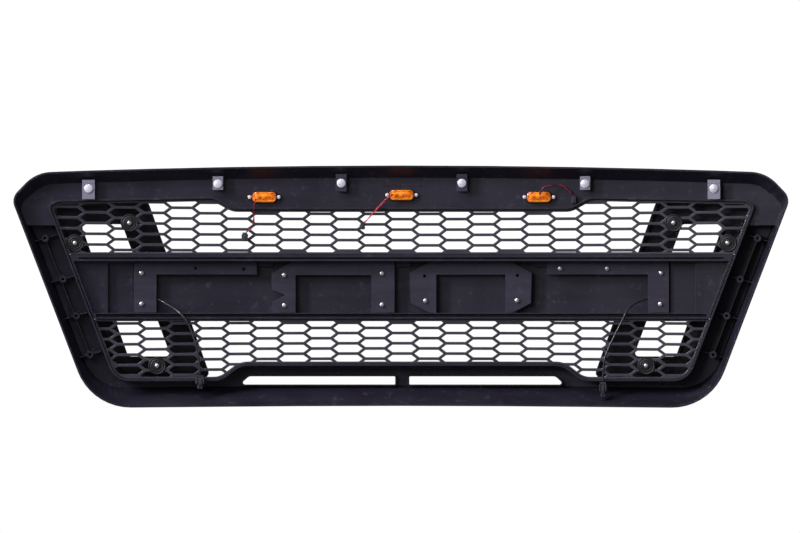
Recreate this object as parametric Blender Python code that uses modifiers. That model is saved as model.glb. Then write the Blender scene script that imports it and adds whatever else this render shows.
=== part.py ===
"""Pickup-truck front grille: a black moulded surround with honeycomb inserts, lamps and fasteners.

Frame: metres, +Z up, the front of the grille faces -Y, its back faces +Y, and +X is the vehicle's left.
The origin is on the hood land: the flat back face of the top band, at the middle of the grille.
Every piece is modelled flat, in the XZ plane, and then pushed back along Y by the plan curve that
sweeps the ends of the grille towards the fenders.
"""
import math

import bmesh
import bpy
from mathutils import Matrix, Vector, geometry

MM = 0.001
GAP = 0.3
# Cutters that go right through reach this far along Y.
THROUGH = 60.0
FILL_AROUND_HOLES = 2

# Overall size, in millimetres.  Heights are measured from the middle of the grille.
HALF_WIDTH = 620.0
TOP_Z = 192.8
TOP_ARCH = 12.5
BOTTOM_ARCH = 2.5
SIDE_SLOPE = 0.3835
SWEEP = 45.0
STATION_PITCH = 88.0

# Levels along Y, before the sweep: the back of the object is towards +Y.
LAND_Y = 0.0
SKIN = 3.0
PAD_REAR_Y = LAND_Y + 0.5
RIM_Y = 22.0
POD_FLOOR_Y = -30.0
POD_FRONT_Y = POD_FLOOR_Y - SKIN
LIP_Y = 6.0
WELL_Y = -17.0
MESH_REAR_Y = -4.0
MESH_FRONT_Y = -14.0
LEDGE_REAR_Y = MESH_FRONT_Y - GAP
TRIM_REAR_Y = -34.0
TRIM_FRONT_Y = -46.0
BAR_REAR_Y = 4.0
FRAME_REAR_Y = -15.0
FRAME_FRONT_Y = -19.0
POD_TOP_Z = 100.0

# The seal pad in the middle of the top band. It meets the vehicle, and the origin is on its face.
PAD_HALF = 32.0
PAD_BOTTOM_Z = 159.4
PAD_TOP_Z = 170.4
DATUM = Vector((0.0, PAD_REAR_Y, 165.0))

# Honeycomb.
UPPER_PITCH_X = 43.5
LOWER_PITCH_X = 43.1
CELL_SLANT = 10.9
CELL_GROWTH = 0.036
CELL_WALL = 4.6
MESH_RIM = 3.4
MESH_LEDGE = 1.6
LEDGE_END_CLEARANCE = 3.0
UPPER_PITCH_Z = 16.8
UPPER_WALL_Z = 56.6
LOWER_PITCH_Z = 16.4
LOWER_WALL_Z = -58.9

# Centre bar.
BAR_TOP_Z = 50.4
BAR_BOTTOM_Z = -52.6
BAR_GAP = 0.4
POCKET_TOP_Z = 39.7
POCKET_BOTTOM_Z = -43.2
POCKET_HALF = 430.0
STEP_POCKET_HALF = 470.0
BAR_END_CLEARANCE = 0.9
END_POCKET_WALL = 3.6
CABLE_HOLE = (402.5, -17.2, 3.4)

# Badge pads in front of the bar.
BADGE_PLACES_X = (285.0, 109.0, -109.0, -285.0)
BADGE_HALF_LENGTH = 50.0
BADGE_HALF_HEIGHT = 31.0
BADGE_CORNER = 5.0
BADGE_THICKNESS = 4.0

# Fixing towers on the left half: x, z, and the half width, foot and head of the clip from the bolt.
CLIPS = [(96.6, 164.5, 8.6, 13.0, 14.8), (293.7, 163.4, 8.2, 9.6, 12.2), (500.0, 155.8, 10.0, 17.0, 14.0)]

# Other fasteners: (x, z) on the left half.
TRIM_FIXINGS = [(522.4, 68.8), (435.5, 101.0), (391.5, -127.5)]
WASHER_RADIUS = 14.0
SIDE_BOSSES = [(569.9, 76.3), (541.6, 10.7), (520.2, -47.7), (498.6, -109.8)]
TOWER_Y = 11.0
BOLT_RADIUS = 3.0
SCREW_RADIUS = 2.0
CLIP_THICKNESS = 1.4
CLIP_LEAF = 8.0
CLIP_STEP = 0.5

# Marker lamps on the top band: name, x, z.
MARKER_LAMPS = [("left", 220.0, 142.2), ("centre", 0.0, 145.6), ("right", -220.0, 142.2)]
GLANDS = {"left": (233.0, 138.6), "centre": (14.0, 146.0), "right": (-221.4, 146.0)}
LAMP_LENGTH = 37.6
LAMP_HEIGHT = 16.4

# The side lamps sit on the bar inside the windows of the side trims.
SIDE_LAMP_X = 441.0
SIDE_LAMP_HALF_LENGTH = 21.0
SIDE_LAMP_HALF_HEIGHT = 14.0
SIDE_LAMP_LEAN = 5.0
SIDE_LAMP_FRONT_Y = -43.0

# Free leads.  Each route is a hand-chosen list of (x, y, z), before the sweep.
WIRE_DIAMETER = 3.0
CABLE_DIAMETER = 3.4
ROUTES = {
    "marker_wire_left": [
        (233.0, 11.6, 138.6), (233.1, 13.8, 138.4), (233.9, 15.2, 135.6), (235.0, 14.8, 129.5),
        (235.8, 12.4, 122.5), (236.4, 9.4, 112.5), (237.0, 6.4, 102.5), (239.6, 4.6, 94.5),
        (244.6, 3.4, 88.8), (248.6, 3.0, 86.6)],
    "marker_wire_centre": [
        (14.0, 11.8, 146.0), (14.3, 14.0, 145.8), (18.2, 15.6, 143.6), (24.4, 14.6, 138.8),
        (32.4, 12.2, 131.0), (41.8, 9.0, 121.0), (50.6, 5.4, 111.2), (57.0, 3.2, 104.4), (60.6, 2.6, 101.2)],
    "marker_wire_right": [
        (-221.4, 11.8, 146.0), (-221.5, 14.0, 146.4), (-222.4, 15.4, 149.8), (-225.8, 14.0, 155.2),
        (-232.6, 11.6, 159.8), (-241.8, 9.0, 161.8), (-251.8, 6.6, 161.2), (-261.2, 4.6, 157.8),
        (-268.6, 3.4, 152.2), (-273.4, 3.0, 145.8)],
    "lamp_cable_left": [
        (402.5, -31.5, -17.2), (402.3, -29.0, -17.3), (400.5, -25.6, -18.0), (396.5, -23.4, -19.4),
        (391.0, -22.4, -21.6), (383.0, -18.8, -25.4), (371.0, -8.8, -32.2), (361.5, 1.2, -38.2),
        (352.5, 8.0, -45.6), (344.0, 10.8, -55.6), (335.6, 11.4, -73.0), (329.0, 11.6, -93.6),
        (325.0, 12.0, -113.4), (323.2, 12.4, -130.4), (322.4, 12.4, -141.6)],
    "lamp_cable_right": [
        (-402.5, -31.5, -17.2), (-402.3, -29.0, -17.2), (-400.5, -25.6, -17.6), (-396.5, -23.4, -18.6),
        (-391.0, -22.4, -20.2), (-382.5, -18.8, -23.4), (-371.5, -8.8, -29.2), (-363.5, 1.4, -36.0),
        (-358.0, 8.2, -45.0), (-352.4, 10.8, -56.6), (-342.0, 11.4, -77.6), (-332.0, 11.6, -97.8),
        (-325.6, 12.0, -115.6), (-323.2, 12.4, -133.6), (-322.8, 12.4, -152.6)],
}

parts = bpy.data.collections.new("front_grille")
helpers = bpy.data.collections.new("cutters")


# ---------------------------------------------------------------- scene and materials

def clear_scene():
    for old in list(bpy.data.objects):
        bpy.data.objects.remove(old, do_unlink=True)
    bpy.context.scene.collection.children.link(parts)
    bpy.context.scene.collection.children.link(helpers)


def material(name, colour, roughness, metallic=0.0):
    made = bpy.data.materials.new(name)
    made.use_nodes = True
    shader = made.node_tree.nodes["Principled BSDF"]
    shader.inputs["Base Color"].default_value = (*colour, 1.0)
    shader.inputs["Roughness"].default_value = roughness
    shader.inputs["Metallic"].default_value = metallic
    made.diffuse_color = (*colour, 1.0)
    return made


# ---------------------------------------------------------------- flat outlines, (x, z) in millimetres

def rounded(corners, steps=3):
    """The outline through the corners (x, z, radius), with each corner replaced by an arc."""
    outline = []
    count = len(corners)
    for index, (x, z, radius) in enumerate(corners):
        here = Vector((x, z))
        if radius == 0.0:
            outline.append(here)
            continue
        back = (Vector(corners[index - 1][:2]) - here).normalized()
        ahead = (Vector(corners[(index + 1) % count][:2]) - here).normalized()
        half_angle = back.angle(ahead) / 2.0
        centre = here + (back + ahead).normalized() * (radius / math.sin(half_angle))
        reach = radius / math.tan(half_angle)
        start = here + back * reach - centre
        sweep = start.angle_signed(here + ahead * reach - centre)
        for step in range(steps + 1):
            angle = -sweep * step / steps
            turned = Vector((start.x * math.cos(angle) - start.y * math.sin(angle),
                             start.x * math.sin(angle) + start.y * math.cos(angle)))
            outline.append(centre + turned)
    return outline


def both_halves(half):
    """Completes an outline whose corners run from the top middle round the left (+X) side."""
    return half + [(-x, z, radius) for x, z, radius in reversed(half)]


def offset(outline, distance):
    """The outline moved outwards by distance, or inwards where it is negative."""
    moved = []
    count = len(outline)
    for index, here in enumerate(outline):
        before = (here - outline[index - 1]).normalized()
        after = (outline[(index + 1) % count] - here).normalized()
        normal_before = Vector((-before.y, before.x))
        normal_after = Vector((-after.y, after.x))
        mitre = (normal_before + normal_after).normalized()
        moved.append(here + mitre * (distance / mitre.dot(normal_after)))
    return moved


def mirrored(outline):
    return [Vector((-point[0], point[1])) for point in reversed(outline)]


def circle(x, z, radius, sides):
    turn = 2.0 * math.pi / sides
    return [Vector((x - radius * math.cos(turn * side), z + radius * math.sin(turn * side)))
            for side in range(sides)]


def rectangle(x_low, z_low, x_high, z_high):
    return [Vector((x_low, z_low)), Vector((x_low, z_high)), Vector((x_high, z_high)), Vector((x_high, z_low))]


def cut_convex(subject, window):
    """The part of the subject outline inside a convex window, both clockwise as seen from the front."""
    result = list(subject)
    for index, edge_end in enumerate(window):
        edge_start = window[index - 1]
        edge = edge_end - edge_start

        def side(point):
            return edge.x * (point.y - edge_start.y) - edge.y * (point.x - edge_start.x)

        kept = []
        for place, here in enumerate(result):
            before = result[place - 1]
            side_here, side_before = side(here), side(before)
            if (side_here < 0.0) != (side_before < 0.0):
                kept.append(before.lerp(here, side_before / (side_before - side_here)))
            if side_here < 0.0:
                kept.append(here)
        result = kept
        if not result:
            return []
    return result


def divided(outline, longest):
    """The outline with its long edges split, so that no edge is longer than the given length."""
    points = []
    for index, here in enumerate(outline):
        after = outline[(index + 1) % len(outline)]
        pieces = max(1, math.ceil((after - here).length / longest))
        points += [here.lerp(after, piece / pieces) for piece in range(pieces)]
    return points


def area(outline):
    doubled = sum(outline[i - 1].x * point.y - outline[i - 1].y * point.x for i, point in enumerate(outline))
    return abs(doubled) / 2.0


def tidy_outline(outline, shortest=0.6):
    """Drops points that stand closer than shortest to the one before."""
    kept = []
    for point in outline:
        if not kept or (point - kept[-1]).length > shortest:
            kept.append(point)
    if len(kept) > 1 and (kept[0] - kept[-1]).length <= shortest:
        kept.pop()
    return kept


# The rim is the back edge of the outer wall, the floor is where that wall meets the pod floor.
def arched(z, arch, x):
    return z - arch * (x / HALF_WIDTH) ** 2


def wall_outline(top_z, corner, shoulder, heel, bottom_z, steps=9):
    """Outline of the outer wall: arched top, chamfered shoulder, slanted side and a large lower corner."""
    top = [(x, arched(top_z, TOP_ARCH, x), 0.0) for x in (140.0, 280.0, 400.0, 500.0)]
    base = [(x, bottom_z - BOTTOM_ARCH * (x / 390.0) ** 2, 0.0) for x in (330.0, 165.0)]
    half = top + [corner, shoulder, heel] + base
    return rounded(half + [(0.0, bottom_z, 0.0)] + both_halves(half)[len(half):] + [(0.0, top_z, 0.0)], steps)


RIM = wall_outline(TOP_Z, (583.5, 181.6, 60.0), (622.6, 140.5, 22.0), (494.5, -195.0, 90.0), -191.8)
FLOOR = wall_outline(151.0, (560.0, 141.0, 40.0), (600.0, 116.0, 16.0), (491.5, -163.0, 66.0), -159.5)

OPENING = rounded(both_halves([
    (270.0, 122.4, 30.0), (302.0, 139.7, 30.0), (548.5, 134.7, 5.0), (562.2, 127.2, 5.0),
    (456.7, -149.2, 31.0), (290.0, -149.2, 35.0), (258.0, -124.8, 35.0)]), 5)

TRIM_OUTER = rounded([
    (406.9, 135.5, 8.0), (546.6, 132.4, 7.0), (559.2, 125.6, 7.0), (455.4, -147.0, 29.0), (306.5, -147.0, 8.0)])
TRIM_WINDOW = rounded([
    (449.9, 97.1, 4.0), (511.6, 97.1, 4.0), (437.3, -111.0, 4.0), (373.3, -111.0, 4.0)])


# ---------------------------------------------------------------- solids

def add_object(name, mesh, collection=parts):
    made = bpy.data.objects.new(name, mesh)
    collection.objects.link(made)
    return made


def prism(name, outline, rear_y, front_y, front_outline=None, collection=helpers):
    """A solid between two outlines with the same number of points, at two levels of Y."""
    shape = bmesh.new()
    ends = []
    for points, y in ((outline, rear_y), (front_outline or outline, front_y)):
        ends.append([shape.verts.new((point[0] * MM, y * MM, point[1] * MM)) for point in points])
    shape.faces.new(ends[0])
    shape.faces.new(list(reversed(ends[1])))
    count = len(outline)
    for index in range(count):
        after = (index + 1) % count
        shape.faces.new((ends[0][after], ends[0][index], ends[1][index], ends[1][after]))
    bmesh.ops.recalc_face_normals(shape, faces=shape.faces)
    mesh = bpy.data.meshes.new(name)
    shape.to_mesh(mesh)
    shape.free()
    return add_object(name, mesh, collection)


def replace_mesh(piece, mesh):
    old = piece.data
    piece.data = mesh
    bpy.data.meshes.remove(old)


def freeze(piece):
    """Turns the piece's modifiers into plain mesh."""
    graph = bpy.context.evaluated_depsgraph_get()
    mesh = bpy.data.meshes.new_from_object(piece.evaluated_get(graph))
    piece.modifiers.clear()
    replace_mesh(piece, mesh)


def combine(piece, operation, *tools):
    """Applies Boolean steps and throws the tools away."""
    for tool in tools:
        step = piece.modifiers.new(operation, "BOOLEAN")
        step.operation = operation
        step.object = tool
        step.solver = "EXACT"
        tool.hide_render = True
        tool.display_type = "WIRE"
    freeze(piece)
    for tool in tools:
        bpy.data.objects.remove(tool, do_unlink=True)
    return piece


def cut(piece, *tools):
    return combine(piece, "DIFFERENCE", *tools)


def join(piece, *tools):
    return combine(piece, "UNION", *tools)


def keep_inside(piece, tool):
    return combine(piece, "INTERSECT", tool)


def rod(name, x, z, radius, rear_y, front_y, sides=12, collection=helpers):
    return prism(name, circle(x, z, radius, sides), rear_y, front_y, collection=collection)


def block(name, x_low, z_low, x_high, z_high, rear_y, front_y, collection=helpers):
    return prism(name, rectangle(x_low, z_low, x_high, z_high), rear_y, front_y, collection=collection)


def rib(name, start, end, thickness, rear_y, front_y):
    """A thin upright wall on the line between two (x, z) places."""
    start, end = Vector(start), Vector(end)
    along = (end - start).normalized()
    across = Vector((-along.y, along.x)) * (thickness / 2.0)
    return prism(name, [start - across, start + across, end + across, end - across], rear_y, front_y)


def plate_with_holes(name, outline, holes, rear_y, front_y):
    """A flat plate: the outline filled around its holes with compact triangles, then thickened."""
    loops = [outline] + holes
    points = [point for loop in loops for point in loop]
    rings, first = [], 0
    for loop in loops:
        rings.append(list(range(first, first + len(loop))))
        first += len(loop)
    filled = geometry.delaunay_2d_cdt(points, [], rings, FILL_AROUND_HOLES, 0.0001)
    sheet = bmesh.new()
    corners = [sheet.verts.new((point.x * MM, front_y * MM, point.y * MM)) for point in filled[0]]
    for triangle in filled[2]:
        sheet.faces.new([corners[corner] for corner in triangle])
    raised = bmesh.ops.extrude_face_region(sheet, geom=sheet.faces[:])["geom"]
    raised_points = [item for item in raised if isinstance(item, bmesh.types.BMVert)]
    bmesh.ops.translate(sheet, verts=raised_points, vec=(0.0, (rear_y - front_y) * MM, 0.0))
    bmesh.ops.recalc_face_normals(sheet, faces=sheet.faces)
    mesh = bpy.data.meshes.new(name)
    sheet.to_mesh(mesh)
    sheet.free()
    return add_object(name, mesh)


def turned(name, profile, x, z, sides=16):
    """A round piece about Y from a profile of (radius, y), front end first."""
    mesh = bpy.data.meshes.new(name)
    mesh.from_pydata([(radius * MM, 0.0, y * MM) for radius, y in profile],
                     [(place, place + 1) for place in range(len(profile) - 1)], [])
    piece = add_object(name, mesh)
    spin = piece.modifiers.new("spin", "SCREW")
    spin.axis = "Z"
    spin.steps = sides
    spin.render_steps = sides
    spin.use_merge_vertices = True
    spin.merge_threshold = 0.00001
    freeze(piece)
    shape = bmesh.new()
    shape.from_mesh(piece.data)
    bmesh.ops.remove_doubles(shape, verts=shape.verts, dist=0.000005)
    bmesh.ops.recalc_face_normals(shape, faces=shape.faces)
    shape.to_mesh(piece.data)
    shape.free()
    stand_up = Matrix.Translation((x * MM, 0.0, z * MM)) @ Matrix.Rotation(-math.pi / 2.0, 4, "X")
    piece.data.transform(stand_up)
    return piece


# ---------------------------------------------------------------- plan sweep

def parabola(x):
    return SWEEP * (x / HALF_WIDTH) ** 2


def plan_offset(x):
    """How far the sweep pushes a point back, in millimetres: a chain of chords between stations."""
    station = (math.floor(x / STATION_PITCH + 0.5) - 0.5) * STATION_PITCH
    share = (x - station) / STATION_PITCH
    chord = parabola(station) * (1.0 - share) + parabola(station + STATION_PITCH) * share
    return chord - parabola(STATION_PITCH / 2.0)


def sweep_long(piece):
    """Splits a long piece at the stations, and pushes each point back, so every face stays flat."""
    shape = bmesh.new()
    shape.from_mesh(piece.data)
    reach = int(HALF_WIDTH / STATION_PITCH) + 1
    for station in range(-reach, reach):
        bmesh.ops.bisect_plane(
            shape, geom=shape.verts[:] + shape.edges[:] + shape.faces[:], dist=0.0000005,
            plane_co=((station + 0.5) * STATION_PITCH * MM, 0.0, 0.0), plane_no=(1.0, 0.0, 0.0))
    for point in shape.verts:
        point.co.y += plan_offset(point.co.x / MM) * MM
    bmesh.ops.remove_doubles(shape, verts=shape.verts, dist=0.00001)
    shape.to_mesh(piece.data)
    shape.free()


def sweep_points(piece):
    """Pushes each point back, for a piece whose points already stand close together."""
    for point in piece.data.vertices:
        point.co.y += plan_offset(point.co.x / MM) * MM


def sweep_short(piece, x):
    """Pushes a short piece at x back, and leans it with the surface it stands on."""
    lean = (plan_offset(x + 1.0) - plan_offset(x - 1.0)) / 2.0
    for point in piece.data.vertices:
        point.co.y += (plan_offset(x) + lean * (point.co.x / MM - x)) * MM


def finish(piece, finish_material):
    piece.data.materials.clear()
    piece.data.materials.append(finish_material)
    piece.data.shade_smooth()
    piece.data.set_sharp_from_angle(angle=math.radians(30.0))
    return piece


# ---------------------------------------------------------------- pieces

def both_sides(places):
    """Places on the left half, then their mirror images on the right half."""
    return list(places) + [(-place[0], *place[1:]) for place in places]


def channel_cutter():
    """The hollow behind the outer wall: down to the land at the top, down to the pod floor below it."""
    rim_inner = offset(RIM, -SKIN)
    beyond = [rim_point.lerp(floor_point, -0.1) for rim_point, floor_point in zip(rim_inner, FLOOR)]
    beyond_y = RIM_Y + 0.1 * (RIM_Y - POD_FLOOR_Y)
    hollow = prism("hollow", beyond, beyond_y, POD_FLOOR_Y, FLOOR)
    land_block = block("land_block", -700.0, POD_TOP_Z - SKIN, 700.0, 300.0, LAND_Y, -THROUGH)
    return cut(hollow, land_block, prism("lip", offset(OPENING, SKIN), LIP_Y, -THROUGH))


def slot_outline(side):
    """One of the two air slots in the bottom band, on side +1 or -1."""
    half = rounded([(11.2, -144.8, 1.5), (245.6, -144.8, 9.0), (260.1, -157.8, 3.0), (11.2, -157.8, 1.5)], 3)
    return half if side > 0 else mirrored(half)


def make_surround(black):
    outer_front = offset(FLOOR, SKIN)
    shell = prism("surround_shell", RIM, RIM_Y, POD_FRONT_Y, outer_front, collection=parts)
    cut(shell, channel_cutter())

    recess = block("top_recess", -700.0, POD_TOP_Z, 700.0, 300.0, LAND_Y - SKIN, -THROUGH)
    cut(recess, prism("well", offset(OPENING, SKIN + 0.2), THROUGH, WELL_Y))
    cut(shell, recess)

    solids = [block("seal_pad", -PAD_HALF, PAD_BOTTOM_Z, PAD_HALF, PAD_TOP_Z, PAD_REAR_Y, LAND_Y - 1.0)]
    for x, z, _, foot, _ in both_sides(CLIPS):
        solids.append(block("tower", x - 7.5, z - foot + 1.8, x + 7.5, z + 9.5, TOWER_Y, LAND_Y - 1.0))
    for x, z in both_sides(SIDE_BOSSES):
        side = math.copysign(1.0, x)
        solids.append(rod("boss", x, z, 6.0, -4.0, POD_FLOOR_Y - 1.4))
        solids.append(rib("short_rib", (x - side * 18.0, z + 5.5), (x + side * 19.0, z - 5.2), 1.7, -12.0,
                          POD_FLOOR_Y - 1.0))
    for side in (1.0, -1.0):
        (x_top, z_top), (x_low, z_low) = SIDE_BOSSES[0], SIDE_BOSSES[-1]
        solids.append(rib("long_rib", (side * x_top, z_top), (side * x_low, z_low), 1.8, -10.0,
                          POD_FLOOR_Y - 0.6))
        slot_rim = offset(slot_outline(side), 2.5)
        solids.append(prism("slot_rim", slot_rim, -20.0, POD_FLOOR_Y - 0.8))
    join(shell, *solids)

    # The meshes lie on a ledge round the opening; it thins to a skin beside the centre bar.
    bar_band = region_between(BAR_BOTTOM_Z - BAR_GAP, BAR_TOP_Z + BAR_GAP)
    holes = [prism("opening", OPENING, THROUGH, LEDGE_REAR_Y),
             prism("ledge_opening", offset(OPENING, -MESH_LEDGE), 0.0, -THROUGH),
             prism("bar_notch", bar_band, 0.0, -THROUGH)]
    for x, z in both_sides(SIDE_BOSSES):
        holes.append(rod("boss_hole", x, z, 2.4, 10.0, -22.0, 8))
    for x, z, *_ in both_sides(CLIPS):
        holes.append(rod("bolt_hole", x, z, BOLT_RADIUS + 0.4, 30.0, -30.0, 10))
    for _, x, z in MARKER_LAMPS:
        holes.append(prism("lamp_window", lamp_outline(x, z, 0.5), 10.3, -10.0))
    for side in (1.0, -1.0):
        holes.append(prism("slot", slot_outline(side), 10.0, -THROUGH))
    cut(shell, *holes)
    sweep_long(shell)
    return finish(shell, black)


def grown(corner):
    """A corner of the even cell pattern, moved out by the growth at its distance from the middle."""
    return Vector(corner) * (1.0 + CELL_GROWTH * (corner[0] / HALF_WIDTH) ** 2)


def honeycomb(name, region, pitch_x, wall_z, pitch_z, black):
    """A honeycomb panel with a plain rim; its cells are laid out from X = 0 and grow towards the ends."""
    inside = offset(region, -MESH_RIM)
    half_flat = (pitch_x - CELL_SLANT) / 2.0
    point = half_flat + CELL_SLANT
    cells = []
    columns = int(HALF_WIDTH / pitch_x) + 1
    rows = int(2.0 * TOP_Z / pitch_z)
    for column in range(-columns, columns + 1):
        for row in range(-rows, rows + 1):
            x = column * pitch_x
            z = wall_z + (row + (0.5 if column % 2 == 0 else 0.0)) * pitch_z
            half = pitch_z / 2.0
            corners = [(x - half_flat, z + half), (x + half_flat, z + half), (x + point, z),
                       (x + half_flat, z - half), (x - half_flat, z - half), (x - point, z)]
            cell = offset([grown(corner) for corner in corners], -CELL_WALL / 2.0)
            hole = tidy_outline(cut_convex(inside, cell))
            if len(hole) > 2 and area(hole) > 14.0:
                cells.append(hole)
    panel = plate_with_holes(name, divided(region, pitch_x), cells, MESH_REAR_Y, MESH_FRONT_Y)
    sweep_points(panel)
    return finish(panel, black)


def region_between(z_low, z_high):
    """The part of the opening between two heights, with clearance at the sides."""
    band = rectangle(-600.0, z_low, 600.0, z_high)
    return tidy_outline(cut_convex(offset(OPENING, -0.5), band), 0.2)


def bar_outline(clearance):
    x_top, z_top = 562.2, 127.2
    at_top = x_top - SIDE_SLOPE * (z_top - BAR_TOP_Z) - clearance
    at_bottom = x_top - SIDE_SLOPE * (z_top - BAR_BOTTOM_Z) - clearance
    return [Vector((-at_bottom, BAR_BOTTOM_Z)), Vector((-at_top, BAR_TOP_Z)),
            Vector((at_top, BAR_TOP_Z)), Vector((at_bottom, BAR_BOTTOM_Z))]


def make_centre_bar(black, screw_places):
    bar = prism("centre_bar", bar_outline(BAR_END_CLEARANCE), BAR_REAR_Y, POD_FRONT_Y, collection=parts)
    ends = keep_inside(prism("end_pocket", bar_outline(BAR_END_CLEARANCE + END_POCKET_WALL), 20.0, -10.0),
                       block("end_band", -600.0, POCKET_BOTTOM_Z, 600.0, POCKET_TOP_Z, 30.0, -30.0))
    cut(bar, ends,
        block("step_pocket", -STEP_POCKET_HALF, POCKET_BOTTOM_Z, STEP_POCKET_HALF, POCKET_TOP_Z, 20.0, -20.0),
        block("main_pocket", -POCKET_HALF, POCKET_BOTTOM_Z, POCKET_HALF, POCKET_TOP_Z, 20.0, POD_FLOOR_Y),
        block("upper_groove", -516.0, 43.2, 516.0, 45.6, 20.0, -6.0),
        block("lower_groove", -488.0, -49.6, 488.0, -44.8, 20.0, -6.0))
    bottom_corner, _, top_corner, _ = bar_outline(LEDGE_END_CLEARANCE)
    solids = [block("top_ledge", -top_corner.x, BAR_TOP_Z - 1.0, top_corner.x, BAR_TOP_Z + MESH_LEDGE,
                    LEDGE_REAR_Y, POD_FRONT_Y + 1.0),
              block("bottom_ledge", bottom_corner.x, BAR_BOTTOM_Z - MESH_LEDGE, -bottom_corner.x,
                    BAR_BOTTOM_Z + 1.0, LEDGE_REAR_Y, POD_FRONT_Y + 1.0)]
    solids += [block("badge_ledge", x - 12.0, 31.2, x + 12.0, POCKET_TOP_Z + 1.0, -22.0, POD_FLOOR_Y - 1.0)
               for x in (219.3, -1.4, -221.8)]
    solids += [rod("screw_boss", x, z, 4.2, FRAME_FRONT_Y - GAP, POD_FLOOR_Y - 1.4, 8) for x, z in screw_places]
    join(bar, *solids)
    hole_x, hole_z, hole_radius = CABLE_HOLE
    holes = [rod("cable_hole", side * hole_x, hole_z, hole_radius, 0.0, -THROUGH, 10) for side in (1.0, -1.0)]
    holes += [rod("pilot_hole", x, z, SCREW_RADIUS + 0.3, 0.0, POD_FLOOR_Y + 1.0, 8) for x, z in screw_places]
    cut(bar, *holes)
    sweep_long(bar)
    return finish(bar, black)


# Backing frames behind the badges: outline, empty holes and screws of each.
FRAME_TOP = 39.2
FRAME_FOOT = -42.7
ARM_FOOT = 18.4
FRAMES = [
    ([(232.3, ARM_FOOT), (232.3, FRAME_TOP), (429.2, FRAME_TOP), (429.2, FRAME_FOOT), (392.9, FRAME_FOOT),
      (392.9, ARM_FOOT)],
     [(330.2, 28.3), (253.4, 27.0)],
     [(416.6, 20.8), (416.6, -28.8)]),
    ([(12.0, FRAME_FOOT), (12.0, FRAME_TOP), (176.6, FRAME_TOP), (208.4, 20.3), (208.4, -6.1), (186.8, -14.6),
      (208.4, -25.3), (208.4, FRAME_FOOT), (170.5, FRAME_FOOT), (170.5, 17.4), (49.1, 17.4), (49.1, FRAME_FOOT)],
     [],
     [(188.6, 17.4), (188.3, -31.2), (32.0, 20.0), (32.0, -30.1)]),
    ([(-176.9, FRAME_FOOT), (-206.4, -27.5), (-207.9, 21.1), (-174.6, FRAME_TOP), (-45.6, FRAME_TOP),
      (-12.0, 21.1), (-14.3, -27.5), (-43.6, FRAME_FOOT), (-54.9, FRAME_FOOT), (-54.9, 18.2), (-165.6, 18.2),
      (-165.6, FRAME_FOOT)],
     [(-36.0, 15.8), (-185.0, 16.8)],
     [(-37.5, -23.8), (-184.5, -23.2)]),
    ([(-427.8, FRAME_FOOT), (-427.8, FRAME_TOP), (-231.9, FRAME_TOP), (-231.9, ARM_FOOT), (-394.1, ARM_FOOT),
      (-394.1, FRAME_FOOT)],
     [],
     [(-253.5, 28.0), (-328.8, 28.0), (-415.4, 20.8), (-414.1, -29.1)]),
]


def make_frames(black, steel):
    number = 0
    for place, (corners, empty_holes, screws) in enumerate(FRAMES, 1):
        outline = [Vector(corner) for corner in corners]
        holes = [circle(x, z, 2.6, 8) for x, z in empty_holes]
        holes += [circle(x, z, SCREW_RADIUS + 0.5, 8) for x, z in screws]
        frame = plate_with_holes(f"backing_frame_{place}", outline, holes, FRAME_REAR_Y, FRAME_FRONT_Y)
        sweep_long(frame)
        finish(frame, black)
        for x, z in screws:
            number += 1
            head = FRAME_REAR_Y + GAP
            profile = [(0.0, POD_FLOOR_Y + 2.0), (SCREW_RADIUS, POD_FLOOR_Y + 4.0), (SCREW_RADIUS, head),
                       (4.2, head), (3.2, head + 2.2), (0.0, head + 2.6)]
            screw = turned(f"frame_screw_{number:02d}", profile, x, z, 10)
            sweep_short(screw, x)
            finish(screw, steel)


def make_badges(black):
    """Plain pads where the badges of the real grille stand."""
    rear = POD_FRONT_Y - GAP
    for place, x in enumerate(BADGE_PLACES_X, 1):
        outline = rounded([(x - BADGE_HALF_LENGTH, -BADGE_HALF_HEIGHT, BADGE_CORNER),
                           (x - BADGE_HALF_LENGTH, BADGE_HALF_HEIGHT, BADGE_CORNER),
                           (x + BADGE_HALF_LENGTH, BADGE_HALF_HEIGHT, BADGE_CORNER),
                           (x + BADGE_HALF_LENGTH, -BADGE_HALF_HEIGHT, BADGE_CORNER)], 3)
        pad = prism(f"badge_blank_{place}", outline, rear, rear - BADGE_THICKNESS, offset(outline, -1.5),
                    collection=parts)
        sweep_long(pad)
        finish(pad, black)


def make_trim(name, side, black):
    """One parallelogram frame in front of the mesh, a channel open to the back with three fixing posts."""
    def on_side(outline):
        return outline if side > 0 else mirrored(outline)

    outer, window = on_side(TRIM_OUTER), on_side(TRIM_WINDOW)
    trim = prism(name, outer, TRIM_REAR_Y, TRIM_FRONT_Y, offset(outer, -3.0), collection=parts)
    hollow = prism("hollow", offset(outer, -2.5), 0.0, TRIM_FRONT_Y + SKIN, offset(outer, -5.5))
    cut(hollow, prism("hollow_core", offset(window, 5.5), 10.0, -THROUGH))
    cut(trim, hollow)
    posts = [rod("post", side * x, z, 5.0, MESH_FRONT_Y - GAP, TRIM_FRONT_Y + 1.0, 12) for x, z in TRIM_FIXINGS]
    join(trim, *posts)
    pilots = [rod("pilot", side * x, z, SCREW_RADIUS + 0.2, 0.0, -36.0, 10) for x, z in TRIM_FIXINGS]
    cut(trim, prism("window", window, 0.0, -THROUGH, offset(window, 3.0)), *pilots)
    sweep_long(trim)
    return finish(trim, black)


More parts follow.
